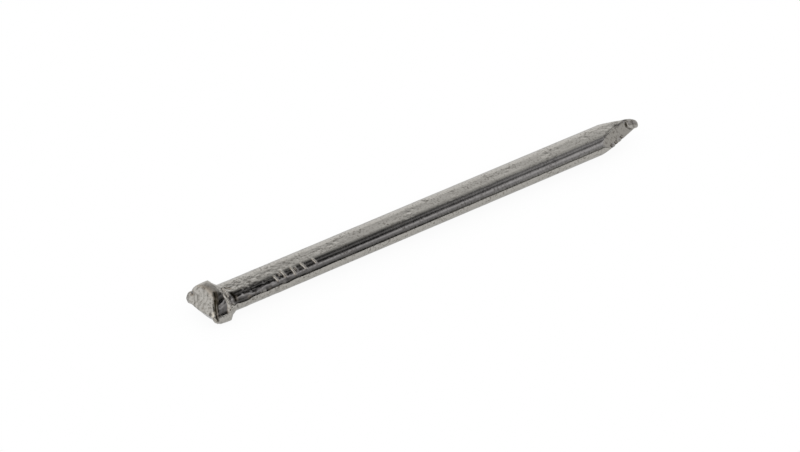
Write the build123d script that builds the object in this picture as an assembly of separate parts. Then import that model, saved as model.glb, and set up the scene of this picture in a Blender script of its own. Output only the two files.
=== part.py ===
"""Oval brad head nail, 50 x 3.35 x 2.00 mm, forged from one length of oval wire.

Frame: +X runs from the head to the point, +Z is up, and the nail lies on its broad side.
The nail is drawn about its own axis, with the nose of the head at X = 0. It is then moved, so
that the origin is the middle of its length, on the surface that it lies on.
"""
import math
import os

from build123d import *

# ---- driving dimensions, in millimetres and degrees ----

length = 50.0                 # nose of the head to the end of the tip

# Shank: two flats joined by half-ellipse edges.
shank_width = 3.35
shank_thickness = 2.00
flat_width = 0.90

# Head: the wire, upset in a die. Two opposite corners filled out, and the other two stayed round.
head_outline = (              # round the head, seen from the point: across the nail, up
    (-0.42, 1.12),            # upper near corner, unfilled
    (-1.14, 0.77),
    (-1.58, 0.33),
    (-1.84, -0.12),
    (-1.98, -0.66),           # lower near corner, filled
    (-1.74, -1.08),
    (-1.20, -1.24),
    (-0.40, -1.25),
    (0.42, -1.14),            # lower far corner, unfilled
    (1.14, -0.77),
    (1.62, -0.33),
    (1.92, 0.12),
    (2.10, 0.66),             # upper far corner, filled
    (1.90, 1.08),
    (1.30, 1.26),
    (0.40, 1.23),
)
head_length = 2.30            # nose to the start of the shoulder
shoulder_length = 0.50
shoulder_share = 0.76         # how much of the head's width is left after the shoulder
collar_place = 2.36           # nose to the rim that the two halves of the die left
collar_length = 0.14
collar_height = 0.06

# Nose: the end of the head is a blunt wedge whose edge runs across the nail.
nose_slope = (                # back from the wedge's edge, up from it
    (0.00, 0.00),
    (0.05, 0.16),
    (0.26, 0.34),
    (0.58, 0.57),
    (1.00, 0.85),
    (1.42, 1.10),
    (1.90, 1.25),
    (2.60, 1.34),
)
nose_bow = 0.12
nose_skew = 5.0               # degrees: the near side stands back a little
nose_forward = 0.00
nose_corner_near = 1.40
nose_corner_far = 0.35

# Grip ribs: raised by the teeth of the dies that hold the wire while it is headed.
rib_places = (7.2, 8.4, 9.4, 10.7, 11.8)     # nose to the middle of each rib
rib_height = 0.09
rib_width = 0.34
rib_first_angle = 80.0        # where a rib starts and ends on the half-ellipse edge
rib_last_angle = 20.0

# Point: four cut faces, and the stub that is left where the nail was pinched off.
point_faces = (               # direction round the axis, where the face starts, lean to the axis
    (136.5, 5.10, 17.6),
    (46.0, 3.94, 13.0),
    (-43.5, 5.10, 15.5),
    (-134.0, 5.15, 14.2),
)
stub_length = 1.00
stub_radius = 0.42
stub_rise = 0.21
stub_rounding = 0.20

# ---- values worked out from them ----

half_width = shank_width / 2
half_thickness = shank_thickness / 2
half_flat = flat_width / 2
edge_reach = half_width - half_flat          # half-ellipse edge: its reach across the nail
head_half_width = max(abs(across) for across, up in head_outline)
head_total = head_length + shoulder_length
stub_root = length - stub_length
cutter_size = 6 * shank_width


def shank_section(rise=0.0):
    """The oval of the wire, in the plane across the nail, made bigger by rise all round."""
    flats = Rectangle(flat_width, shank_thickness + 2 * rise)
    edge = Ellipse(edge_reach + rise, half_thickness + rise)
    return flats + [Pos(side * half_flat, 0) * edge for side in (-1, 1)]


def head_section(share=1.0):
    """The head across the nail."""
    outline = [(across * share, up * share) for across, up in head_outline]
    return make_face(Spline(outline, periodic=True))


def nose_wedge():
    """A bar across the nail, which comes to the wedge's edge at the nose."""
    upper = Spline(nose_slope)
    lower = mirror(upper, Plane.XZ)
    reach, rise = head_total + 1, nose_slope[-1][1]
    back = Polyline(upper @ 1, (reach, rise), (reach, -rise), lower @ 1)
    return extrude(Plane.XZ * make_face([upper, back, lower]), amount=head_half_width * 2, both=True)


def nose_plan():
    """The head seen from above: a bowed end with rounded corners."""
    far = (nose_bow, head_half_width)
    near = (nose_bow, -head_half_width)
    end = ThreePointArc(near, (0, 0), far)
    reach = head_total + 1
    sides = Polyline(far, (reach, head_half_width), (reach, -head_half_width), near)
    plan = make_face([end, sides])
    for corner, radius in ((far, nose_corner_far), (near, nose_corner_near)):
        vertex = plan.vertices().sort_by_distance((*corner, 0))[0]
        plan = fillet(vertex, radius)
    return extrude(plan, amount=2 * head_half_width, both=True)


def head():
    """The forged head, with its shoulder down to the shank."""
    block = extrude(Plane.YZ * head_section(), amount=head_length)
    ends = (Plane.YZ.offset(head_length) * head_section(),
            Plane.YZ.offset(head_total) * head_section(shoulder_share))
    nose = Pos(-nose_forward) * Rotation(0, 0, nose_skew) * (nose_wedge() & nose_plan())
    return (block + loft(ends)) & nose


def edge_point(angle, rise=0.0):
    """A point on the near half-ellipse edge, by its angle up from the side, raised by rise."""
    turn = math.radians(angle)
    across, up = math.cos(turn), math.sin(turn)
    normal = Vector(-across / edge_reach, up / half_thickness).normalized()
    return Vector(-half_flat - edge_reach * across, half_thickness * up) + normal * rise


def rib(place):
    """One crescent rib across the upper near edge of the shank."""
    middle_angle = (rib_first_angle + rib_last_angle) / 2
    first, last = edge_point(rib_first_angle), edge_point(rib_last_angle)
    crest = ThreePointArc(first, edge_point(middle_angle, rib_height), last)
    crescent = make_face([crest, Polyline(last, (0, 0), first)])
    return extrude(Plane.YZ.offset(place - rib_width / 2) * crescent, amount=rib_width)


def shank_reach(turn):
    """Distance from the axis to the shank's tangent in one direction across the nail."""
    across, up = abs(math.cos(turn)), abs(math.sin(turn))
    return half_flat * across + math.hypot(edge_reach * across, half_thickness * up)


def face_cutter(direction, face_length, lean):
    """The metal that one cut face takes off. The face starts face_length before the tip."""
    turn, slope = math.radians(direction), math.radians(lean)
    reach = shank_reach(turn)
    across, up = math.cos(turn), math.sin(turn)
    plane = Plane(
        origin=(length - face_length, across * reach, up * reach),
        z_dir=(math.sin(slope), across * math.cos(slope), up * math.cos(slope)),
    )
    block = Box(cutter_size, cutter_size, cutter_size, align=(Align.CENTER, Align.CENTER, Align.MIN))
    return plane * block


def stub():
    """The short tip that is left when the nail is pinched off the wire."""
    root = Plane.YZ.offset(stub_root) * Pos(0, stub_rise) * Circle(stub_radius)
    pin = extrude(root, amount=stub_length)
    return fillet(pin.edges().sort_by(Axis.X)[-1], stub_rounding)


def nail():
    """The whole nail, as one solid."""
    shank = extrude(Plane.YZ.offset(collar_place) * shank_section(), amount=stub_root - collar_place)
    ribs = [rib(place) for place in rib_places]
    ribs += [Rotation(180, 0, 0) * one for one in ribs]
    collar = extrude(Plane.YZ.offset(collar_place) * shank_section(collar_height), amount=collar_length)
    body = shank + collar + ribs + head()
    cutters = [face_cutter(*face) for face in point_faces]
    pointed = body - cutters
    whole = pointed + stub()
    box = whole.bounding_box()
    return Pos(-(box.min.X + box.max.X) / 2, -(box.min.Y + box.max.Y) / 2, -box.min.Z) * whole


part = nail()
os.makedirs("parts", exist_ok=True)
export_step(part, "parts/nail.step")
box = part.bounding_box()
print("solids", len(part.solids()), "valid", part.is_valid, "volume", round(part.volume, 2))
print("box", [round(v, 3) for v in (*box.min, *box.max)])
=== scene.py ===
# %% [markdown]
# # An oval nail
# An oval nail is one length of drawn steel wire with an oval section. A header squeezes one end
# into a small wedge-shaped head, and cutters pinch the other end to a point. Joiners like it,
# because the oval goes in along the grain and the small head sinks out of sight.
#
# Everything here is worked in millimetres along the nail, from the nose of the head, and turned
# to metres last. The steps are: the solid as a field, a net of quads over it, the marks of its
# making, the steel, and then the paper, the light and the camera.

import bpy
import numpy as np
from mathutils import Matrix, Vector


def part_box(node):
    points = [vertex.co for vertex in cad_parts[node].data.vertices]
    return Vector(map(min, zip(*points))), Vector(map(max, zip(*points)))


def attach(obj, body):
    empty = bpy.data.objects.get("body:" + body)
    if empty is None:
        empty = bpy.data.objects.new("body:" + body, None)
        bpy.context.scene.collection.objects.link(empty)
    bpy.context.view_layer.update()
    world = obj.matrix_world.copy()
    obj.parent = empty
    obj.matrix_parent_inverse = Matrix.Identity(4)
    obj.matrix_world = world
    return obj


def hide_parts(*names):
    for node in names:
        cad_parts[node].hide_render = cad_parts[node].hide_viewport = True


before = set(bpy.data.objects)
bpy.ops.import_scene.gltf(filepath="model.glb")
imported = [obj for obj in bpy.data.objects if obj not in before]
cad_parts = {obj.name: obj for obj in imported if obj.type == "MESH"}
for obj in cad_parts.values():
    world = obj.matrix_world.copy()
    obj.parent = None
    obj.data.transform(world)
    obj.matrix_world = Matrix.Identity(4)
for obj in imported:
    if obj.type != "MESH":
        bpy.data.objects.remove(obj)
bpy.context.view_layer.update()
MM = 0.001
nail_low, nail_high = (np.array(corner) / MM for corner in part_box("nail"))
print("CAD box in mm:", nail_low.round(3), nail_high.round(3))

# %% [markdown]
# ## The axis of the wire
# The head is lopsided, so the box round the nail is not centred on the wire. Every form below is
# easier to say from the wire's own axis: x runs along it, y to the far side and z up. Only the
# finished net is moved from there to the nail's place.

# %% Where the axis lies
AXIS_Y, AXIS_Z = -0.0633, 1.2579
NOSE_X = nail_low[0]
LENGTH = nail_high[0] - nail_low[0]
AXIS = np.array([NOSE_X, AXIS_Y, AXIS_Z])
print("length", round(LENGTH, 3), "axis", AXIS_Y, AXIS_Z)

# %% [markdown]
# ## The solid as a field
# A nail has blends everywhere: the shoulder runs into the shank, and the cut faces are not quite
# flat. A polygon model would need each blend drawn by hand, and booleans would leave hard seams.
# Here the steel is written as a field instead: a number for each point in space, below zero
# inside the steel and above it outside, about as large as the distance to the surface. Fields
# join and cut one another with a smooth minimum or maximum, which gives every edge the small
# round that forging leaves.

# %% Joining and cutting fields
def join(a, b, blend):
    """The union of two fields, with a fillet about as wide as blend."""
    h = np.clip(0.5 + 0.5 * (b - a) / blend, 0, 1)
    return b * (1 - h) + a * h - blend * h * (1 - h)


def cut(a, b, blend):
    """The part of both fields, with a rounded edge about as wide as blend."""
    return -join(-a, -b, blend)


def ease(value, start, end):
    """0 at start, 1 at end, with a smooth run between."""
    t = np.clip((value - start) / (end - start), 0, 1)
    return t * t * (3 - 2 * t)


print("two fields that read 0.1 join as", round(join(0.1, 0.1, 0.2), 3))
print("and cut as", round(cut(0.1, 0.1, 0.2), 3))

# %% [markdown]
# ## The wire
# Oval wire comes through a die as a narrow flat above and below with a half-ellipse edge on each
# side. A swept curve would give the same section, but as a field it can be blended with the head
# and cut by the point.

# %% The oval of the wire
SHANK_WIDTH, SHANK_THICKNESS, FLAT = 3.35, 2.00, 0.90
EDGE_REACH = (SHANK_WIDTH - FLAT) / 2
HALF_THICK = SHANK_THICKNESS / 2


def shank_field(y, z):
    """Two flats joined by half-ellipse edges."""
    out = np.maximum(np.abs(y) - FLAT / 2, 0)
    level = np.hypot(out / EDGE_REACH, z / HALF_THICK)
    return (level - 1) * HALF_THICK


print("shank", SHANK_WIDTH, "x", SHANK_THICKNESS)

# %% [markdown]
# ## The outline of the head
# The header's die pushes the steel into two opposite corners, and the other two stay round. Seen
# along the wire this is a lopsided lozenge. A dozen or so points give it, with a smooth closed
# line through them: a circle or a rectangle with rounded corners could not lean like this.

# %% The outline of the head
HEAD_OUTLINE = (
    (-0.42, 1.08), (-1.12, 0.72), (-1.57, 0.31), (-1.84, -0.12),
    (-1.98, -0.66), (-1.74, -1.08), (-1.20, -1.24), (-0.40, -1.25),
    (0.42, -1.14), (1.14, -0.77), (1.62, -0.33), (1.92, 0.12),
    (2.09, 0.66), (1.92, 1.135), (1.30, 1.26), (0.40, 1.23),
)


def smooth_loop(points, count):
    """Many points on a smooth closed line through a few."""
    knots = np.array(points, float)
    n = len(knots)
    tangents = (np.roll(knots, -1, 0) - np.roll(knots, 1, 0)) / 2
    steps = np.arange(count) * n / count
    i = steps.astype(int)
    t = (steps - i)[:, None]
    j = (i + 1) % n
    return ((2 * t**3 - 3 * t**2 + 1) * knots[i] + (t**3 - 2 * t**2 + t) * tangents[i]
            + (3 * t**2 - 2 * t**3) * knots[j] + (t**3 - t**2) * tangents[j])


head_loop = smooth_loop(HEAD_OUTLINE, 720)
loop_turn = np.arctan2(head_loop[:, 1], head_loop[:, 0])
loop_order = np.argsort(loop_turn)
loop_turn = loop_turn[loop_order]
loop_reach = np.hypot(head_loop[:, 0], head_loop[:, 1])[loop_order]
print("head outline", head_loop.min(0).round(2), head_loop.max(0).round(2))

# %% [markdown]
# ## The nose of the head
# The blank for each nail is sheared from the one before it, so the end of the head is a slanting
# face that climbs from a blunt nose to the top of the head. Two tables give it: how high the face
# has climbed at each distance back from the nose, and how far back the nose lies across the head.
# Straight runs between the places would show as facets in bright metal, so each table is eased.

# %% The slope and the plan of the nose
NOSE_SLOPE = (                # distance back from the nose, height of the face
    (-0.60, -0.60), (0.00, 0.00), (0.15, 0.09), (0.42, 0.28), (0.66, 0.52), (1.00, 0.86),
    (1.45, 1.10), (1.90, 1.24), (2.60, 1.36), (6.00, 1.80),
)
NOSE_PLAN = (                 # place across the head, how far back the nose lies there
    (-2.4, 0.72), (-2.1, 0.62), (-1.64, 0.54), (-0.97, 0.41), (-0.36, 0.21), (0.37, 0.07),
    (1.17, 0.00), (1.60, 0.00), (1.90, 0.02), (2.10, 0.08), (2.4, 0.50),
)


def eased_table(stops, width):
    """A table of (place, value) pairs as a fine table with its corners rounded over width."""
    places, values = np.array(stops).T
    fine = np.arange(places[0], places[-1], 0.01)
    half = round(width / 0.02)
    padded = np.pad(np.interp(fine, places, values), half, mode="edge")
    window = np.hanning(2 * half + 3)[1:-1]
    return fine, np.convolve(padded, window / window.sum(), mode="valid")


nose_slope = eased_table(NOSE_SLOPE, 0.36)
nose_plan = eased_table(NOSE_PLAN, 0.50)
print("nose rises to", round(float(np.interp(2.4, *nose_slope)), 2), "at 2.4 mm back")

# %% [markdown]
# ## The head
# The head is the lozenge pulled along the wire, cut by the slanting face above and by a steeper
# face below the nose, and drawn in at the shoulder. It is not quite even: towards the far side
# the slanting face stands higher and the shoulder comes sooner, and the low near corner flares.

# %% The head down to its shoulder
HEAD_LENGTH, SHOULDER_LENGTH, SHOULDER_SHARE = 2.40, 0.50, 0.76
UNDER_START, UNDER_SLOPE = 0.05, 1.5
FAR_LIFT, FAR_SHORT, FAR_TUCK, LOW_FLARE = 0.40, 0.14, 0.14, 0.07
FAR_ACROSS, FAR_UP = (0.4, 1.6), (-0.2, 0.6)             # where the far corner starts and is full
LOW_ACROSS, LOW_DOWN, LOW_BACK = (0.8, 1.5), (0.6, 1.0), (1.0, 2.3)     # the low near corner
LIFT_ACROSS, LIFT_BACK = (0.7, 1.9), (0.45, 1.05)        # the far end of the slanting face
OVER_SHARE, UNDER_SHARE = 0.78, 0.55                     # turn a height into a distance
NOSE_ROUND, CREST_ROUND, BACK_ROUND = 0.08, 0.18, 0.05


def head_field(x, y, z):
    """The forged head, down to where its shoulder meets the shank."""
    turn = np.arctan2(z, y)
    reach = np.interp(turn, loop_turn, loop_reach, period=2 * np.pi)
    far = ease(y, *FAR_ACROSS) * ease(z, *FAR_UP)
    low = ease(-y, *LOW_ACROSS) * ease(-z, *LOW_DOWN) * ease(x, *LOW_BACK)
    down = np.clip((x + FAR_SHORT * far - HEAD_LENGTH) / SHOULDER_LENGTH, 0, 1)
    share = 1 - down * (1 - SHOULDER_SHARE + FAR_TUCK * far)
    sides = np.hypot(y, z) - (reach + LOW_FLARE * low) * share
    back = x - np.interp(y, *nose_plan) + FAR_LIFT * ease(y, *LIFT_ACROSS) * ease(x, *LIFT_BACK)
    over = (z - np.interp(back, *nose_slope)) * OVER_SHARE
    under = (-z - UNDER_START - UNDER_SLOPE * back) * UNDER_SHARE
    wedge = cut(over, under, NOSE_ROUND)
    end = x - HEAD_LENGTH - SHOULDER_LENGTH
    return cut(cut(sides, wedge, CREST_ROUND), end, BACK_ROUND)


print("steel at the middle of the head:", bool(head_field(1.5, 0.0, 0.0) < 0))

# %% [markdown]
# ## The burr and the nub
# Shearing drags a thin burr along the near edge of the slanting face, and leaves a rounded nub at
# the far end of the nose. The burr is a thin rope along a bent path, and the nub an egg with a
# wide blend. Both are lumps on the surface, which is what joining fields does best.

# %% The path of the burr and the size of the nub
BURR = (
    (1.12, -0.82, 0.72), (0.90, -1.22, 0.52), (0.74, -1.58, 0.14), (0.58, -1.86, -0.17),
    (0.75, -1.88, -0.50), (1.00, -1.88, -0.72),
)
BURR_RADIUS, BURR_BLEND = 0.075, 0.04
NUB_MIDDLE, NUB_REACH, NUB_BLEND = (0.39, 1.76, 0.15), (0.44, 0.31, 0.64), 0.34
print("burr", len(BURR), "points, nub", NUB_REACH, "mm each way")

# %% Ropes and eggs
FAR_OFF = 9.0                 # stands for any distance too great to matter
ROPE_MARGIN = 0.5             # how far past its path a rope is still worked out


def away_from(points, path):
    """How far each point is from a path of straight runs."""
    path = np.array(path)
    nearest = np.full(len(points), FAR_OFF)
    for a, b in zip(path[:-1], path[1:]):
        run = b - a
        t = np.clip(((points - a) @ run) / (run @ run), 0, 1)
        nearest = np.minimum(nearest, np.linalg.norm(points - a - t[:, None] * run, axis=1))
    return nearest


def rope_field(x, y, z, path, radius):
    """A thin rope along a path, worked out only near it."""
    near = x < np.array(path)[:, 0].max() + ROPE_MARGIN
    distance = np.full(np.shape(x), FAR_OFF)
    distance[near] = away_from(np.stack([x[near], y[near], z[near]], -1), path)
    return distance - radius


def egg_field(x, y, z, middle, reach):
    """An egg-shaped lump."""
    level = np.sqrt(sum(((v - m) / r) ** 2 for v, m, r in zip((x, y, z), middle, reach)))
    return (level - 1) * min(reach)


burr_start = rope_field(*np.array(BURR[:1]).T, BURR, BURR_RADIUS)[0]
print("on the burr's path the field reads", round(float(burr_start), 3))

# %% [markdown]
# ## The rim and the grip ribs
# Steel squeezed out of the gripping dies leaves a low slanting rim just behind the head. The dies
# hold the wire with a row of small teeth, which leave slanting crescents on two opposite edges,
# so that the nail grips the wood. Modelled one by one they would be tedious, and a bump map would
# not show in the outline, so they only raise the shank's own surface.

# %% The rim
COLLAR_PLACE, COLLAR_LENGTH, COLLAR_HEIGHT = 2.42, 0.18, 0.07
COLLAR_SLANT, COLLAR_ACROSS = 0.25, (-0.5, 1.5)          # how far it slants back, and between where


def rim_rise(x, y):
    """How far the rim stands above the shank: a low ridge, further back on the far side."""
    from_rim = x - COLLAR_PLACE - COLLAR_SLANT * ease(y, *COLLAR_ACROSS)
    return COLLAR_HEIGHT * np.clip(1 - (from_rim / (COLLAR_LENGTH / 2) - 1) ** 2, 0, None)


print("rim", COLLAR_HEIGHT, "mm high at", COLLAR_PLACE, "mm")

# %% The ribs
RIBS = (                      # place, slant, middle and half-reach round the edge in degrees, rise
    (7.77, 0.12, 40, 17, 0.062),
    (8.25, 0.09, 50, 12, 0.030),
    (8.65, 0.10, 48, 24, 0.066),
    (9.66, 0.06, 42, 23, 0.064),
    (9.98, 0.06, 44, 12, 0.030),
    (10.80, 0.14, 44, 19, 0.062),
    (12.01, 0.10, 46, 15, 0.055),
)
RIB_HALF_WIDTH = 0.09


def rib_rise(x, y, z):
    """How far the ribs stand above the shank: slanting crescents on two opposite edges."""
    turn = np.degrees(np.arctan2(z, -y)) % 180
    rise = 0
    for place, slant, middle, half_reach, height in RIBS:
        arc = np.clip(1 - ((turn - middle) / half_reach) ** 2, 0, None)
        along = (x - place + slant * (turn - middle) / half_reach) / RIB_HALF_WIDTH
        rise = rise + height * arc * np.clip(1 - along**2, 0, None)
    return rise


print(len(RIBS), "ribs from", RIBS[0][0], "to", RIBS[-1][0], "mm")

# %% [markdown]
# ## The point
# The point is pinched between cutters, not ground: each pair of blades leaves two slanting faces,
# and the last of the steel pulls apart in a blunt bead. So the point is four flat cuts, each one
# half of space, and the bead is a short fat peg, squarer than an egg, joined on afterwards.

# %% The four cut faces
POINT_FACES = (               # direction it faces round the axis, start before the tip, lean
    (136.5, 5.10, 14.2), (46.0, 3.75, 12.2), (-43.5, 5.10, 14.8), (-134.0, 5.15, 14.2),
)


def face_field(x, y, z, direction, face_length, lean):
    """The half of space that one cut face leaves."""
    turn, slope = np.radians(direction), np.radians(lean)
    across, up = np.cos(turn), np.sin(turn)
    reach = FLAT / 2 * abs(across) + np.hypot(EDGE_REACH * across, HALF_THICK * up)
    out = y * across + z * up - reach
    return (x - LENGTH + face_length) * np.sin(slope) + out * np.cos(slope)


print(len(POINT_FACES), "cut faces over the last", max(face[1] for face in POINT_FACES), "mm")

# %% The torn bead at the tip
BEAD_MIDDLE, BEAD_RISE, BEAD_DROOP, BEAD_LEAN = 49.38, 0.34, 0.14, 0.1
BEAD_RADIUS, BEAD_REACH, BEAD_TAIL = 0.46, 0.50, 0.82
BEAD_SQUARE, TAIL_SQUARE = 3.4, 8.0          # 2 would be an egg, and more is squarer


def bead_field(x, y, z):
    """The pinched-off tip: a blunt bead of steel that droops a little."""
    ahead = x > BEAD_MIDDLE
    along = (x - BEAD_MIDDLE) / np.where(ahead, BEAD_REACH, BEAD_TAIL)
    droop = BEAD_DROOP * (x - BEAD_MIDDLE) / BEAD_REACH
    across = np.hypot(y + BEAD_LEAN * along, z - BEAD_RISE + droop) / BEAD_RADIUS
    power = np.where(ahead, BEAD_SQUARE, TAIL_SQUARE)
    return ((np.abs(along) ** power + across**power) ** (1 / power) - 1) * BEAD_RADIUS


print("bead", 2 * BEAD_RADIUS, "mm thick, ends at", round(BEAD_MIDDLE + BEAD_REACH, 3))

# %% [markdown]
# ## The whole nail
# The pieces go together in the order in which they are made: wire, rim and ribs, head, burr, then
# the cuts at the point. The fillet under the head is wide on the low near side, where the steel
# flowed, and tight elsewhere.

# %% The whole nail as one field
RIM_BLEND, FACE_BLEND, BEAD_BLEND = 0.04, 0.05, 0.12
WELD_TIGHT, WELD_WIDE, WELD_RUN = 0.05, 0.40, (0.5, 1.8)
CUT_OFF, CUT_OFF_BLEND = 0.50, 0.25          # where the wire itself stops, before the tip


def nail_field(x, y, z):
    """The whole nail, before its wear."""
    shank = shank_field(y, z) - rim_rise(x, y) - rib_rise(x, y, z)
    shank = cut(shank, COLLAR_PLACE - x, RIM_BLEND)
    head = join(head_field(x, y, z), egg_field(x, y, z, NUB_MIDDLE, NUB_REACH), NUB_BLEND)
    weld = WELD_TIGHT + (WELD_WIDE - WELD_TIGHT) * ease(-y - z, *WELD_RUN)
    body = join(shank, head, weld)
    body = join(body, rope_field(x, y, z, BURR, BURR_RADIUS), BURR_BLEND)
    for face in POINT_FACES:
        body = cut(body, face_field(x, y, z, *face), FACE_BLEND)
    body = cut(body, x - LENGTH + CUT_OFF, CUT_OFF_BLEND)
    return join(body, bead_field(x, y, z), BEAD_BLEND)


middle_reach = nail_field(np.array([LENGTH / 2]), np.zeros(1), np.zeros(1))[0]
print("steel above the axis at mid length:", round(float(-middle_reach), 3), "mm")

# %% [markdown]
# ## A net over the field
# The space round the nail is divided into small boxes. Wherever the field changes sign inside a
# box, the net gets one vertex, and wherever it changes sign along an edge between four boxes,
# those four vertices make a quad. A voxel remesh could do this too, but it would need a coarse
# solid to start from, and one size of box everywhere. Here the boxes are smallest at the head and
# the point, where the forms are small.

# %% The boxes
FINE = 0.05
RIB_STEP, WIRE_STEP = FINE * 1.6, FINE * 2.2
HEAD_END, RIBS_END, POINT_START = 3.4, 12.6, 44.2
NOSE_MARGIN, TIP_MARGIN, REACH_Y, REACH_Z = 0.25, 0.20, 2.35, 1.45


def spaced(start, stops):
    """Positions along the nail, from (end, step) pairs."""
    places = [start]
    for end, step in stops:
        count = max(1, round((end - places[-1]) / step))
        places += list(np.linspace(places[-1], end, count + 1)[1:])
    return np.array(places)


grid_x = spaced(-NOSE_MARGIN, ((HEAD_END, FINE), (RIBS_END, RIB_STEP), (POINT_START, WIRE_STEP),
                               (LENGTH + TIP_MARGIN, FINE)))
grid_y = np.arange(-REACH_Y, REACH_Y + 0.01, FINE)
grid_z = np.arange(-REACH_Z, REACH_Z + 0.01, FINE)
print("boxes", len(grid_x), len(grid_y), len(grid_z))


# %% The net
def net_over(field, gx, gy, gz):
    """Vertices and quads of the field's zero level, one vertex for each box that it crosses."""
    inside = field(*np.meshgrid(gx, gy, gz, indexing="ij")) < 0
    corners = sum(inside[a:a - 1 or None, b:b - 1 or None, c:c - 1 or None].astype(int)
                  for a in (0, 1) for b in (0, 1) for c in (0, 1))
    crossed = (corners > 0) & (corners < 8)
    number = np.full(crossed.shape, -1)
    number[crossed] = np.arange(crossed.sum())
    i, j, k = np.nonzero(crossed)
    middle = [(g[1:] + g[:-1]) / 2 for g in (gx, gy, gz)]
    points = np.stack([middle[0][i], middle[1][j], middle[2][k]], 1)
    quads = []
    for axis in range(3):
        ahead = np.take(inside, range(1, inside.shape[axis]), axis)
        here = np.take(inside, range(inside.shape[axis] - 1), axis)
        u, v = [a for a in range(3) if a != axis]
        for flip, change in ((False, here & ~ahead), (True, ahead & ~here)):
            at = np.stack(np.nonzero(change), 1)
            at = at[(at[:, u] > 0) & (at[:, v] > 0)]
            loop = []
            for du, dv in ((0, 0), (1, 0), (1, 1), (0, 1)):
                cell = at.copy()
                cell[:, u] -= du
                cell[:, v] -= dv
                loop.append(number[tuple(cell.T)])
            loop = loop[::-1] if flip else loop
            quads.append(np.stack(loop[::-1] if axis == 1 else loop, 1))
    return points, np.concatenate(quads)


net_points, net_quads = net_over(nail_field, grid_x, grid_y, grid_z)
print("rough net:", len(net_points), "vertices", len(net_quads), "quads")

# %% [markdown]
# ## Sliding the net onto the steel
# The first net is a stair of little boxes. Each vertex slides down the slope of the field until
# the field reads zero, which is the exact surface, and between slides it moves towards its
# neighbours, so that the quads stay even. Smoothing alone would shrink the nail and lose its
# edges, so the slide always comes last.


# %% Sliding
def gradient(field, points, step=0.004):
    """The field's value and its slope at each point."""
    value = field(*points.T)
    slopes = [field(*(points + np.eye(3)[a] * step).T) - field(*(points - np.eye(3)[a] * step).T)
              for a in range(3)]
    return value, np.stack(slopes, 1) / (2 * step)


def settle(field, points, times, furthest=0.1, least_slope=0.2):
    """Slides each point down the field's slope to its zero level."""
    for _ in range(times):
        value, slope = gradient(field, points)
        size = np.maximum((slope**2).sum(1), least_slope**2)
        points = points - np.clip(value / size, -furthest, furthest)[:, None] * slope
    return points


print("the rough net is off by", round(float(np.abs(nail_field(*net_points.T)).max()), 3), "mm")


# %% Evening out
EVEN_SHARE = 0.6              # how far each vertex moves towards its neighbours' middle


def even_out(points, quads):
    """Moves each point towards the middle of its neighbours, to even out the net."""
    total, count = np.zeros_like(points), np.zeros(len(points))
    for a, b in ((0, 1), (1, 2), (2, 3), (3, 0)):
        for one, other in ((a, b), (b, a)):
            np.add.at(total, quads[:, one], points[quads[:, other]])
            np.add.at(count, quads[:, one], 1)
    return points * (1 - EVEN_SHARE) + total / count[:, None] * EVEN_SHARE


moved = np.linalg.norm(even_out(net_points, net_quads) - net_points, axis=1)
print("evening out once moves a vertex by up to", round(float(moved.max()), 3), "mm")

# %% The settled net
EVEN_ROUNDS, SLIDES, LAST_SLIDES = 3, 2, 4

for _ in range(EVEN_ROUNDS):
    net_points = settle(nail_field, net_points, SLIDES)
    net_points = even_out(net_points, net_quads)
net_points = settle(nail_field, net_points, LAST_SLIDES)
left_over, slope = gradient(nail_field, net_points)
outward = slope / np.linalg.norm(slope, axis=1)[:, None]
print("furthest from the surface in mm:", round(float(np.abs(left_over).max()), 4))

# %% [markdown]
# ## A smooth random function
# Wear is uneven, so it needs chance, but the same chance each time. Blender's displace modifier
# could bring it, but it moves everything alike. A small lattice of seeded random numbers, read
# smoothly between its points, can be stretched along the wire, laid over one zone only, or used
# for a stain as well as for a height.

# %% A smooth random function
LATTICE_SIZE, SEED = 32, 5
lattice = np.random.default_rng(SEED).random((LATTICE_SIZE,) * 3)


def murmur(points, size):
    """Smooth random values from 0 to 1, with lumps about as big as size, in mm."""
    at = points / np.array(size, float)
    cell = np.floor(at).astype(int)
    t = at - cell
    t = t * t * (3 - 2 * t)
    value = 0
    for i in (0, 1):
        for j in (0, 1):
            for k in (0, 1):
                weight = (t[:, 0] if i else 1 - t[:, 0]) * (t[:, 1] if j else 1 - t[:, 1])
                weight = weight * (t[:, 2] if k else 1 - t[:, 2])
                corner = [(cell[:, a] + step) % LATTICE_SIZE for a, step in enumerate((i, j, k))]
                value = value + weight * lattice[tuple(corner)]
    return value


print("lattice from", round(float(lattice.min()), 3), "to", round(float(lattice.max()), 3))
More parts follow.
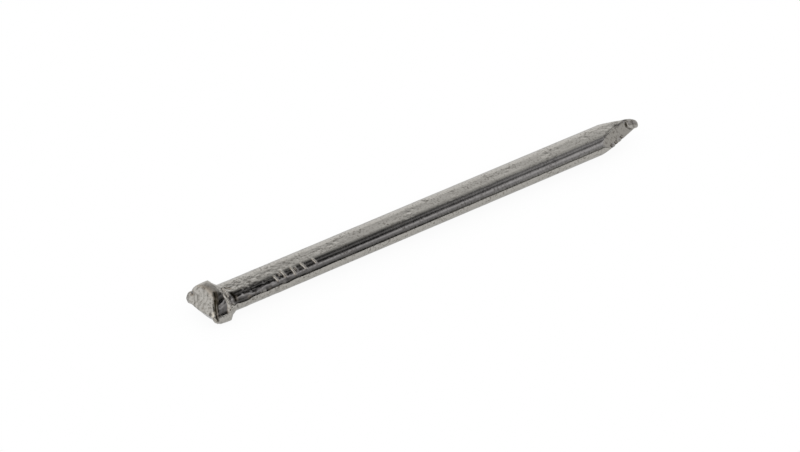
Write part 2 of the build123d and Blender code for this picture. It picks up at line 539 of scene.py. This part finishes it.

# %% [markdown]
# ## Marks that can be told apart
# Nicks, creases and torn places each have a spot of their own. Each runs along a short path, with
# a width, a depth and a darkening. Mostly that is a stain, because oxide and drawing soap stay in
# a mark where nothing rubs, but in the crease behind the burr and just behind the rim it is painted
# shade, round the root of the bead a stain with painted shade, and on the crest a painted
# reflection. A negative depth stands proud of the steel, and a negative darkening is a painted
# highlight on the burr. A painted map would need an unwrapped mesh, and these need only a few
# points each.

# %% Marks on the head
HEAD_MARKS = (                # path, width, depth, stain and painted shade (a painted highlight when below zero)
    # nicks in the slanting face
    (((0.63, 1.10, 0.53), (0.42, 0.76, 0.27)), 0.07, 0.045, 0.45),
    (((0.65, 0.07, 0.41), (0.43, -0.26, 0.15)), 0.06, 0.045, 0.45),
    (((0.60, 1.45, 0.52), (0.70, 1.20, 0.60)), 0.07, 0.035, 0.30),
    (((0.96, 1.08, 0.87), (0.88, 0.98, 0.80)), 0.06, 0.035, 0.35),
    (((0.78, -0.70, 0.42), (0.62, -0.95, 0.22)), 0.06, 0.030, 0.30),
    (((0.13, 1.78, 0.59), (0.22, 1.82, 0.62)), 0.09, 0.015, 0.70),
    # the crease behind the burr: shallow grooves with painted shade, then two lines of painted
    # shade alone
    (((1.88, 0.04, 1.15), (1.74, -0.32, 1.04), (1.50, -0.71, 0.87)), 0.14, 0.025, 1.10),
    (((1.50, -0.71, 0.87), (1.14, -1.22, 0.63), (0.97, -1.60, 0.22)), 0.15, 0.030, 1.50),
    (((0.97, -1.60, 0.22), (0.93, -1.84, -0.12), (0.98, -1.92, -0.42)), 0.11, 0.030, 1.20),
    (((2.02, 0.03, 1.15), (1.85, -0.39, 1.06), (1.68, -0.70, 0.93), (1.52, -1.00, 0.79)),
     0.11, 0.000, 1.00),
    (((1.52, -1.00, 0.79), (1.37, -1.30, 0.57), (1.25, -1.58, 0.30)), 0.11, 0.000, 1.00),
    # painted highlights along the burr, one on a slight lump
    (((1.15, -0.78, 0.70), (0.92, -1.20, 0.50), (0.80, -1.46, 0.26)), 0.07, 0.000, -0.45),
    (((0.80, -1.46, 0.27), (0.70, -1.64, 0.10)), 0.11, -0.012, -1.35),
    (((0.66, -1.78, -0.12), (0.80, -1.90, -0.42)), 0.09, 0.000, -0.50),
    # painted reflection along the crest, and die lines along the near side
    (((1.90, 1.55, 1.15), (1.80, 1.10, 1.20), (1.72, 0.50, 1.22)), 0.20, 0.000, 0.18),
    (((1.22, -1.25, 0.62), (1.60, -1.20, 0.66), (2.05, -1.05, 0.76), (2.30, -0.88, 0.86)),
     0.09, -0.006, 0.00),
    (((1.20, -1.33, 0.56), (1.60, -1.36, 0.53), (2.10, -1.19, 0.66), (2.36, -1.03, 0.77)),
     0.10, 0.006, 0.30),
    (((1.30, -1.50, 0.36), (1.75, -1.48, 0.38), (2.20, -1.35, 0.52)), 0.09, -0.006, 0.00),
    (((1.20, -1.60, 0.10), (1.70, -1.55, 0.12), (2.20, -1.55, 0.20)), 0.08, 0.015, 0.10),
    # dents and soap by the rim, and painted shade on the shank just behind it
    (((3.10, 0.20, 1.00), (3.42, -0.15, 1.00)), 0.08, 0.080, 0.50),
    (((2.75, 0.24, 1.02), (2.80, -0.12, 1.02)), 0.09, 0.080, 0.45),
    (((2.72, -0.50, 1.00), (2.68, -0.98, 0.95)), 0.08, 0.070, 0.50),
    (((3.18, -0.74, 0.97), (3.26, -1.10, 0.84), (3.22, -1.40, 0.58)), 0.20, 0.025, 1.10),
    (((3.45, -0.80, 0.96), (4.30, -0.74, 0.97)), 0.12, 0.000, 0.65),
    (((3.28, -1.62, 0.15), (3.28, -1.67, -0.05)), 0.10, 0.070, 0.50),
)
print(len(HEAD_MARKS), "marks on the head")

# %% Marks on the wire and the point
POINT_MARKS = (               # path, width, depth, stain and painted shade
    # nicks in the wire
    (((25.22, 0.88, 0.94), (25.34, 0.62, 0.98), (25.58, 0.44, 1.00)), 0.10, 0.030, 0.75),
    (((25.34, 0.62, 0.98), (25.52, 0.78, 0.96)), 0.08, 0.020, 0.60),
    (((28.26, 0.40, 1.00), (28.38, 0.22, 1.00)), 0.09, 0.010, 0.45),
    (((32.02, 0.55, 1.00), (32.10, 0.42, 1.00)), 0.09, 0.010, 0.45),
    (((43.74, 0.14, 1.00), (43.92, 0.00, 1.00)), 0.10, 0.020, 0.28),
    # along the edge between two cut faces
    (((45.34, -0.85, 0.94), (45.91, -0.56, 0.99), (46.51, -0.34, 1.00), (47.13, -0.08, 1.00)),
     0.08, 0.020, 0.45),
    (((47.05, -0.22, 0.98), (47.30, -0.06, 1.00), (47.57, -0.14, 0.97)), 0.13, 0.030, 0.55),
    (((47.57, -0.10, 0.97), (47.91, 0.00, 0.98), (48.32, 0.06, 0.92)), 0.08, 0.020, 0.55),
    # round the bead: stained grooves, with painted shade in the one at its root
    (((48.71, 0.12, 0.93), (48.59, -0.05, 0.85), (48.55, -0.14, 0.68), (48.55, -0.25, 0.50)),
     0.09, 0.050, 1.20),
    (((48.55, -0.25, 0.50), (48.65, -0.36, 0.35), (48.86, -0.42, 0.21)), 0.07, 0.040, 0.80),
    (((49.27, -0.03, 0.83), (49.20, -0.21, 0.78), (49.19, -0.37, 0.62), (49.25, -0.43, 0.39),
      (49.34, -0.42, 0.18)), 0.08, 0.02, 0.55),
    # the torn low edge: bites, and lumps between them
    (((47.42, -0.93, 0.20), (47.36, -0.98, 0.02)), 0.13, 0.120, 0.75),
    (((46.44, -1.31, 0.16), (46.36, -1.35, -0.02)), 0.12, 0.130, 0.70),
    (((45.75, -1.48, 0.18), (45.70, -1.52, 0.04)), 0.13, 0.110, 0.70),
    (((47.10, -1.03, 0.10), (47.10, -1.08, -0.12)), 0.13, -0.060, 0.0),
    (((46.12, -1.36, 0.12), (46.12, -1.42, -0.10)), 0.13, -0.060, 0.0),
)
print(len(POINT_MARKS), "marks on the wire and the point")


# %% How deep and how dark the marks are
def marks_on(points, marks):
    """How deep each point is marked, how much stain and painted shade it gets, and how much painted
    highlight.
    """
    depth, stain_and_shade, highlight = np.zeros((3, len(points)))
    for path, width, deep, dark in marks:
        from_x = np.array(path)[:, 0]
        reach = np.ptp(from_x) / 2 + 3 * width
        near = np.where(np.abs(points[:, 0] - from_x.mean()) < reach)[0]
        shape = np.exp(-((away_from(points[near], path) / width) ** 2))
        depth[near] += deep * shape
        # a positive last column paints stain and shade, a negative one paints a highlight
        stain_and_shade[near] = np.maximum(stain_and_shade[near], dark * shape)
        highlight[near] = np.maximum(highlight[near], -dark * shape)
    return depth, stain_and_shade, highlight


dented, stained_and_shaded, painted_highlight = marks_on(net_points, HEAD_MARKS + POINT_MARKS)
print("deepest mark in mm:", round(float(dented.max()), 3))

# %% [markdown]
# ## Wear by zones
# The rest of the wear goes by zones. The die leaves long shallow waves all along, the header's
# grip roughens the wire below the head, shearing scores the slanting face across its slope, the
# rim crumbles, and the torn point is lumpy. Loose scale leaves small pits on the flat. Each zone
# is a number from 0 to 1, eased at its ends so that no wear starts at a line.

# %% The zones
along = net_points[:, 0]
facing_up, facing_side, facing_nose = outward[:, 2], np.abs(outward[:, 1]), -outward[:, 0]


def zone(start, full, fade, end):
    """1 between full and fade along the nail, and 0 before start and after end."""
    return ease(along, start, full) * (1 - ease(along, fade, end))


gripped = zone(2.6, 3.2, 6.0, 13.5)
drawn = zone(2.6, 3.4, 44.5, 46.0)
rimmed = zone(2.2, 2.5, 2.8, 3.05)
sheared = ease(facing_nose, 0.15, 0.45) * (1 - ease(along, 1.9, 2.3))
pinched = ease(along, 45.2, 46.0)
torn = ease(along, 48.40, 48.75)
print("share of the net under the grip:", round(float((gripped > 0.5).mean()), 3))

# %% The wear in each zone
top_grip = gripped * ease(facing_up, 0.5, 0.9)
side_grip = gripped * ease(facing_side, 0.55, 0.85)
WEAR = (                      # shift of the lattice, size of its lumps, how high they are, where
    (0, (4.1, 0.45, 0.45), 0.007, 1),            # waves from the die
    (3, (1.3, 0.6, 0.6), 0.008, 1),              # handling
    (0, (0.31, 0.27, 0.27), 0.003, 1),           # fine roughness
    (0, (0.30, 0.24, 0.24), 0.028, top_grip),    # the grip, on top
    (13, (0.75, 0.50, 0.50), 0.080, side_grip),  # and at the sides
    (5, (0.33, 0.24, 0.24), 0.020, pinched),     # the cut faces
    (9, (0.16, 0.16, 0.16), 0.060, rimmed),      # crumbs on the rim
)
wear = np.zeros(len(net_points))
for shift, size, height, share in WEAR:
    wear += (murmur(net_points + shift, size) - 0.5) * height * share
print("wear from", round(float(wear.min()), 3), "to", round(float(wear.max()), 3), "mm")

# %% Pits on the flat, and scores down the slanting face
PIT_SIZE, PIT_CLUSTER, PIT_DEPTH = (0.27, 0.22, 0.22), (2.3, 0.9, 0.9), 0.020
PIT_SHIFT, PIT_RARE, PIT_FLAT = 7, (1.30, 1.6), (0.980, 0.999)   # only high sums, facing up
SCORE_SIZE, SCORE_DEPTH = (0.12, 0.9, 1.4), 0.030
SLOPE_TURN = 1.65             # the slope's line across the head: 1.65 along for each 1 across

pits = murmur(net_points + PIT_SHIFT, PIT_SIZE) + murmur(net_points, PIT_CLUSTER)
wear -= ease(pits, *PIT_RARE) * PIT_DEPTH * drawn * ease(facing_up, *PIT_FLAT)
slope_length = np.hypot(SLOPE_TURN, 1)
across_slope = (SLOPE_TURN * net_points[:, 0] - net_points[:, 1]) / slope_length
down_slope = (net_points[:, 0] + SLOPE_TURN * net_points[:, 1]) / slope_length
scores = murmur(np.stack([across_slope, down_slope, net_points[:, 2]], 1), SCORE_SIZE) - 0.5
wear += scores * SCORE_DEPTH * sheared
print("with pits and scores from", round(float(wear.min()), 3), "mm")

# %% The stains in each zone
DOT_SHIFT, DOT_SIZE, DOT_RARE = 11, (0.17, 0.15, 0.15), (0.55, 0.9)
DOT_STAIN, GRIP_STAIN, SCORE_STAIN, SCORE_RARE = 0.35, 0.45, 0.5, (0.0, 0.4)

dots = ease(murmur(net_points + DOT_SHIFT, DOT_SIZE), *DOT_RARE)
score_stain = SCORE_STAIN * ease(scores, *SCORE_RARE) + DOT_STAIN * dots
stained_and_shaded = np.maximum(stained_and_shaded, sheared * score_stain)
stained_and_shaded = np.maximum(stained_and_shaded, GRIP_STAIN * dots * gripped)
print("stained share of the net:", round(float((stained_and_shaded > 0.2).mean()), 3))

# %% [markdown]
# ## The mesh
# The wear moves each vertex along the outward direction of the field, which a mesh this fine
# holds as real shape. The result is kept within the nail's own box, so that the marks never make
# it bigger, and only now is it turned to metres. The stains with the painted shade, the painted
# highlights and the torn end go with it as attributes, one number for each vertex, and the steel
# reads them by name.

# %% The worn net as a mesh
worn_points = net_points + outward * (wear - dented)[:, None]
worn_points = np.clip(worn_points, nail_low - AXIS, nail_high - AXIS)
placed = (worn_points + AXIS) * MM
nail_mesh = bpy.data.meshes.new("nail_steel")
nail_mesh.from_pydata(placed.tolist(), [], net_quads.tolist())
nail_mesh.polygons.foreach_set("use_smooth", [True] * len(nail_mesh.polygons))
nail_mesh.update()
nail = bpy.data.objects.new("nail_steel", nail_mesh)
bpy.context.scene.collection.objects.link(nail)
print("lowest and highest in mm:", (placed.min(0) / MM).round(3), (placed.max(0) / MM).round(3))

# %% Its attributes and its place in the frame
# The first layer holds stains and painted shade, the second painted highlights, the third the torn
# end.
for name, values in (("stain_and_shade", stained_and_shaded), ("painted_highlight", painted_highlight), ("torn", torn)):
    layer = nail_mesh.attributes.new(name, "FLOAT", "POINT")
    layer.data.foreach_set("value", np.clip(values, 0, 1).astype(np.float32))
    print(name, "covers a share of", round(float((values > 0.2).mean()), 4))

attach(nail, "root")
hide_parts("nail")

# %% [markdown]
# ## Colours and nodes
# Colours are written as they look on a screen, in hex, and the renderer counts light evenly, so
# one function turns the one into the other. Materials and the world are built from nodes. They
# could be drawn by hand in the editor, but in code one small helper is enough: it adds a node,
# sets its settings, and sets or links its inputs.


# %% Colours and nodes
def linear(hex_code):
    """An sRGB hex colour as linear red, green, blue and alpha."""
    parts = [int(hex_code[i:i + 2], 16) / 255 for i in (1, 3, 5)]
    even = [c / 12.92 if c <= 0.04045 else ((c + 0.055) / 1.055) ** 2.4 for c in parts]
    return (*even, 1.0)


def add(tree, kind, inputs=(), **settings):
    """Adds a node with its settings, and sets or links its inputs."""
    node = tree.nodes.new(kind)
    for name, value in settings.items():
        setattr(node, name, value)
    for name, value in dict(inputs).items():
        if isinstance(value, bpy.types.NodeSocket):
            tree.links.new(value, node.inputs[name])
        else:
            node.inputs[name].default_value = value
    return node


print("mid grey is", round(linear("#808080")[0], 3), "of white")

# %% [markdown]
# ## Bright drawn steel
# The wire is plain low-carbon steel, drawn cold through a polished die. Drawing leaves it bright
# and a little warm in colour, smooth across and finely lined along its length, with small dark
# specks where drawing soap and scale were pressed in. To the eye that is a soft mirror: long
# clear reflections along the wire, a little broken by the specks, and a dull grey where it tore.
#
# The grain is worked from sizes in millimetres. Real drawing lines are some hundredths of a
# millimetre apart, which is too fine to show, so they are drawn 0.10 mm apart here. The specks
# are drawn 0.2 mm long, which is coarser than most real ones, for the same reason.

# %% The material and its three grains
steel = bpy.data.materials.new("bright_drawn_steel")
steel.use_nodes = True
tree = steel.node_tree
shader = tree.nodes["Principled BSDF"]
shader.inputs["Metallic"].default_value = 1.0
where = add(tree, "ShaderNodeTexCoord")
GRAINS = {                    # size along and across in mm, detail, roughness of the noise
    "lines": (3.0, 0.10, 2, 0.5),
    "specks": (0.20, 0.22, 3, 0.6),
    "patches": (2.2, 0.8, 2, 0.5),
}
grain = {}
for name, (size_along, size_across, detail, roughness) in GRAINS.items():
    scale = Vector((1 / size_along, 1 / size_across, 1 / size_across)) / MM
    stretched = add(tree, "ShaderNodeMapping", {"Vector": where.outputs["Object"], "Scale": scale})
    noise = add(tree, "ShaderNodeTexNoise", {"Vector": stretched.outputs["Vector"], "Scale": 1.0,
                                             "Detail": detail, "Roughness": roughness})
    grain[name] = noise.outputs["Fac"]
print("grains:", list(grain))

# %% Where the specks are
SPECK_FROM, SPECK_FULL = 0.505, 0.66         # noise levels where a speck starts and is full
FEWEST, MOST = 0.25, 0.85                    # how strong specks are in clean and dirty patches

speck = add(tree, "ShaderNodeMapRange", {"Value": grain["specks"], "From Min": SPECK_FROM,
                                         "From Max": SPECK_FULL})
patch = add(tree, "ShaderNodeMapRange", {"Value": grain["patches"], "From Min": 0.35,
                                         "From Max": 0.65, "To Min": FEWEST, "To Max": MOST})
speckled = add(tree, "ShaderNodeMath", {0: speck.outputs["Result"], 1: patch.outputs["Result"]},
               operation="MULTIPLY")
print("specks from three nodes:", speck.name, "/", patch.name, "/", speckled.name)

# %% Its colour: bright metal, darker in specks, stains and painted shade, lighter in painted highlights
BRIGHT, SPECK, STAIN_AND_SHADE, PAINTED_HIGHLIGHT = "#B5B2AC", "#69635C", "#302C22", "#F4EEDF"
colour = add(tree, "ShaderNodeMix", {0: speckled.outputs[0], 6: linear(BRIGHT), 7: linear(SPECK)},
             data_type="RGBA")
for name, hex_code in (("stain_and_shade", STAIN_AND_SHADE), ("painted_highlight", PAINTED_HIGHLIGHT)):
    amount = add(tree, "ShaderNodeAttribute", attribute_name=name)
    colour = add(tree, "ShaderNodeMix", {0: amount.outputs["Fac"], 6: colour.outputs[2],
                                         7: linear(hex_code)}, data_type="RGBA")
tree.links.new(colour.outputs[2], shader.inputs["Base Color"])
print("colour from", BRIGHT, "to", SPECK, "and", STAIN_AND_SHADE)

# %% Its roughness: a little duller in patches, dull in the specks and dullest where it tore
BRIGHT_DULL, PATCH_DULL, SPECK_DULL, TORN_DULL = 0.07, 0.13, 0.25, 0.28
dull = add(tree, "ShaderNodeMapRange", {"Value": grain["patches"], "From Min": 0.3, "From Max": 0.7,
                                        "To Min": BRIGHT_DULL, "To Max": PATCH_DULL})
dull = add(tree, "ShaderNodeMath", {0: speckled.outputs[0], 1: SPECK_DULL,
                                    2: dull.outputs["Result"]}, operation="MULTIPLY_ADD")
torn_end = add(tree, "ShaderNodeAttribute", attribute_name="torn")
dull = add(tree, "ShaderNodeMath", {0: torn_end.outputs["Fac"], 1: TORN_DULL,
                                    2: dull.outputs[0]}, operation="MULTIPLY_ADD")
tree.links.new(dull.outputs[0], shader.inputs["Roughness"])
print("roughness from", BRIGHT_DULL, "to", round(PATCH_DULL + SPECK_DULL + TORN_DULL, 2))

# %% Its bump: fine drawing lines, and specks a few thousandths of a millimetre deep
LINE_DEPTH, SPECK_DEPTH = 0.0012, 0.004
bump = add(tree, "ShaderNodeBump", {"Height": grain["lines"], "Distance": LINE_DEPTH * MM,
                                    "Strength": 1.0})
bump = add(tree, "ShaderNodeBump", {"Height": grain["specks"], "Distance": SPECK_DEPTH * MM,
                                    "Strength": 1.0, "Normal": bump.outputs["Normal"]})
tree.links.new(bump.outputs["Normal"], shader.inputs["Normal"])
nail_mesh.materials.append(steel)
print("bump", LINE_DEPTH, "and", SPECK_DEPTH, "mm deep")

# %% [markdown]
# ## The paper it lies on
# The nail lies on white paper under even light. Lit paper is never quite the white of the page
# round a picture, so this sheet glows by itself at the level asked for, and only darkens close
# to the nail, where the nail hides the light above. Ambient occlusion measures that. The metal
# also mirrors the paper, at a flat angle where it looks greyer, so mirrored rays get a level of
# their own.

# %% The floor
HALF_FLOOR = 3.0
SQUARE = ((-1, -1), (1, -1), (1, 1), (-1, 1))
floor_corners = [(x * HALF_FLOOR, y * HALF_FLOOR, 0) for x, y in SQUARE]
floor_mesh = bpy.data.meshes.new("floor")
floor_mesh.from_pydata(floor_corners, [], [(0, 1, 2, 3)])
floor = bpy.data.objects.new("floor", floor_mesh)
bpy.context.scene.collection.objects.link(floor)
print("floor", 2 * HALF_FLOOR, "m across")

# %% White paper
SHADOW_REACH = 3 * MM
SEEN_SHADOW = 0.94            # how bright the shadow is under the nail, seen straight
MIRRORED_SHADOW, MIRRORED_PAPER = 0.55, 0.80
ROOM_LEVEL = 0.8              # what the paper gives to everything that is not a mirror
paper = bpy.data.materials.new("white_paper_floor")
paper.use_nodes = True
tree = paper.node_tree
tree.nodes.clear()
paper_rays = add(tree, "ShaderNodeLightPath").outputs
open_sky = add(tree, "ShaderNodeAmbientOcclusion", {"Distance": SHADOW_REACH}, samples=8)
seen_level = add(tree, "ShaderNodeMapRange", {"Value": open_sky.outputs["AO"],
                                              "To Min": SEEN_SHADOW})
mirrored_level = add(tree, "ShaderNodeMapRange", {"Value": open_sky.outputs["AO"],
                                                  "To Min": MIRRORED_SHADOW,
                                                  "To Max": MIRRORED_PAPER})
paper_level = add(tree, "ShaderNodeMix", {0: paper_rays["Is Glossy Ray"],
                                          2: seen_level.outputs["Result"],
                                          3: mirrored_level.outputs["Result"]})
print("mirrored paper from", MIRRORED_SHADOW, "to", MIRRORED_PAPER)

# %% What the paper gives to each kind of ray
backdrop = paper_rays["Is Camera Ray"]
for kind in ("Is Glossy Ray", "Is Transmission Ray"):
    backdrop = add(tree, "ShaderNodeMath", {0: backdrop, 1: paper_rays[kind]}, operation="ADD",
                   use_clamp=True).outputs[0]
room_share = add(tree, "ShaderNodeMapRange", {"Value": backdrop, "To Min": ROOM_LEVEL})
strength = add(tree, "ShaderNodeMath", {0: room_share.outputs["Result"], 1: paper_level.outputs[0]},
               operation="MULTIPLY")
glow = add(tree, "ShaderNodeEmission", {"Strength": strength.outputs[0]})
add(tree, "ShaderNodeOutputMaterial", {"Surface": glow.outputs["Emission"]})
floor_mesh.materials.append(paper)
print("paper of", len(tree.nodes), "nodes")

# %% [markdown]
# ## The light tent
# Bright metal shows little of itself: it shows the room. Such small bright things are lit inside
# a white tent, open towards the front and along the middle of its sides, and the openings are
# what draw the dark lines along the wire. Lamps and cards could make them, but their edges would
# need fitting one by one. Here the tent is the world itself. Two colour ramps give the grey of
# its wall at each angle round the wire, one near the head and one near the point, and a third
# closes it at its ends. Angles start at the front edge of the floor, and 90 is straight up.

# %% The walls of the tent
TENT_BY_HEAD = (              # degrees round the wire, grey of the wall
    (0, "#141414"), (12, "#181818"), (18, "#404040"), (24, "#68686B"), (31, "#858589"),
    (40, "#88888C"), (47, "#A8A8AD"), (57, "#C9C9CF"), (63, "#88888C"), (68, "#38383A"),
    (73, "#0C0C0D"), (80, "#0C0C0D"), (85, "#484849"), (93, "#747477"), (101, "#343435"),
    (107, "#2C2C2D"), (113, "#606060"), (117, "#808080"), (123, "#A7A7A7"), (132, "#C1C1C1"),
    (136, "#DCDCDC"), (141, "#F2F2F2"), (147, "#FFFFFF"), (180, "#FFFFFF"),
)
TENT_BY_POINT = (
    (0, "#707070"), (9, "#787878"), (16, "#B0B0B0"), (29, "#AEAEB3"), (38, "#A8A8AD"),
    (48, "#C8C8CE"), (59, "#DCDCE3"), (66, "#D0D0D6"), (71, "#A4A4A9"), (77, "#747477"),
    (81, "#76767A"), (87, "#ACACB1"), (96, "#B0B0B5"), (103, "#909094"), (108, "#98989D"),
    (115, "#C0C0C0"), (124, "#CCCCCC"), (134, "#D0D0D0"), (137, "#E8E8E8"), (142, "#FAFAFA"),
    (147, "#FFFFFF"), (180, "#FFFFFF"),
)
TENT_ENDS = (                 # direction along the wire, colour, how much it covers the walls
    (-0.40, "#FFFFFF", 1), (-0.05, "#F4ECE4", 0.88), (0.22, "#D8CCC0", 0.15),
    (0.33, "#CCCBCA", 0), (0.60, "#CCCBCA", 0), (0.80, "#CCCBCA", 1),
)
HEAD_SIDE, POINT_SIDE = 0.435, 0.492         # directions along the wire where the two walls meet
print("walls of", len(TENT_BY_HEAD), "and", len(TENT_BY_POINT), "stops")

# %% Angles round the wire and directions along it
world = bpy.data.worlds.new("light_tent")
bpy.context.scene.world = world
world.use_nodes = True
tree = world.node_tree
tree.nodes.clear()
sky_way = add(tree, "ShaderNodeTexCoord")
split = add(tree, "ShaderNodeSeparateXYZ", {"Vector": sky_way.outputs["Generated"]}).outputs
frontward = add(tree, "ShaderNodeMath", {0: split["Y"], 1: -1.0}, operation="MULTIPLY")
turn = add(tree, "ShaderNodeMath", {0: split["Z"], 1: frontward.outputs[0]}, operation="ARCTAN2")
half_turn = add(tree, "ShaderNodeMath", {0: turn.outputs[0], 1: np.pi}, operation="DIVIDE")
lengthwise = add(tree, "ShaderNodeMapRange", {"Value": split["X"], "From Min": -1.0})
towards_point = add(tree, "ShaderNodeMapRange", {"Value": split["X"], "From Min": HEAD_SIDE,
                                                 "From Max": POINT_SIDE})
print("world", world.name, "reads", sky_way.name)

# %% The ramps, mixed into one tent
walls = {}
for name, place, low, high, stops in (
    ("by head", half_turn.outputs[0], 0, 180, TENT_BY_HEAD),
    ("by point", half_turn.outputs[0], 0, 180, TENT_BY_POINT),
    ("ends", lengthwise.outputs["Result"], -1, 1, TENT_ENDS),
):
    walls[name] = add(tree, "ShaderNodeValToRGB", {"Fac": place}).outputs
    elements = tree.nodes[-1].color_ramp.elements
    while len(elements) < len(stops):
        elements.new(0.5)
    for element, (at, hex_code, *cover) in zip(elements, stops):
        element.position = (at - low) / (high - low)
        element.color = linear(hex_code)[:3] + tuple(cover or (1.0,))
tent = add(tree, "ShaderNodeMix", {0: towards_point.outputs["Result"],
                                   6: walls["by head"]["Color"],
                                   7: walls["by point"]["Color"]}, data_type="RGBA")
tent = add(tree, "ShaderNodeMix", {0: walls["ends"]["Alpha"], 6: tent.outputs[2],
                                   7: walls["ends"]["Color"]}, data_type="RGBA")
print("tent of", list(walls))

# %% Who sees the tent
# Mirrors see its walls. The eye sees plain white behind the nail, and all else one even level.
EVEN_LEVEL, BACKGROUND = "#E6E6E6", "#FFFFFF"
sky_rays = add(tree, "ShaderNodeLightPath").outputs
mirror = add(tree, "ShaderNodeMath", {0: sky_rays["Is Glossy Ray"],
                                      1: sky_rays["Is Transmission Ray"]},
             operation="ADD", use_clamp=True)
sky_colour = add(tree, "ShaderNodeMix", {0: mirror.outputs[0], 6: linear(EVEN_LEVEL),
                                         7: tent.outputs[2]}, data_type="RGBA")
sky_colour = add(tree, "ShaderNodeMix", {0: sky_rays["Is Camera Ray"], 6: sky_colour.outputs[2],
                                         7: linear(BACKGROUND)}, data_type="RGBA")
sky = add(tree, "ShaderNodeBackground", {"Color": sky_colour.outputs[2]})
add(tree, "ShaderNodeOutputWorld", {"Surface": sky.outputs["Background"]})
print("world of", len(tree.nodes), "nodes")

# %% [markdown]
# ## The camera
# A small thing is pictured with a long lens from well back, so that its lines stay straight. The
# camera stands in front and to the left of the nail and looks down on it. It is placed by two
# angles and a distance from the middle of the wire, and then turned a little off that middle,
# which says the framing in three plain numbers. Shifting the lens would do the same.

# %% The camera
AZIMUTH, ELEVATION, DISTANCE = np.radians(34.579), np.radians(38.6), 303.987
SENSOR, LENS = 36.0, 145.35
AIM_RIGHT, AIM_UP = 0.007709, -0.003808      # how far it looks past the middle, per unit ahead
target = Vector((0, AXIS_Y, AXIS_Z)) * MM
away = Vector((-np.sin(AZIMUTH) * np.cos(ELEVATION), -np.cos(AZIMUTH) * np.cos(ELEVATION),
               np.sin(ELEVATION)))
right = (-away).cross(Vector((0, 0, 1))).normalized()
up = right.cross(-away)
aim = (-away - right * AIM_RIGHT + up * AIM_UP).normalized()
camera_data = bpy.data.cameras.new("camera")
camera_data.sensor_width, camera_data.lens = SENSOR, LENS
camera_data.clip_start, camera_data.clip_end = 0.01, 10
camera = bpy.data.objects.new("camera", camera_data)
camera.location = target + away * DISTANCE * MM
camera.rotation_mode = "QUATERNION"
camera.rotation_quaternion = aim.to_track_quat("-Z", "Y")
bpy.context.scene.collection.objects.link(camera)
bpy.context.scene.camera = camera
bpy.context.scene.view_settings.view_transform = "Standard"
print("camera at", [round(v, 4) for v in camera.location], "lens", camera_data.lens)

# %% [markdown]
# ## Sizes
# A dressed part that outgrows its solid would not fit where the solid fits. So the worn mesh is
# clipped to the loaded box, and both boxes are printed along the way, the one that was loaded and
# the one that was made. The last step only brings the scene up to date.

# %% The end
bpy.context.view_layer.update()
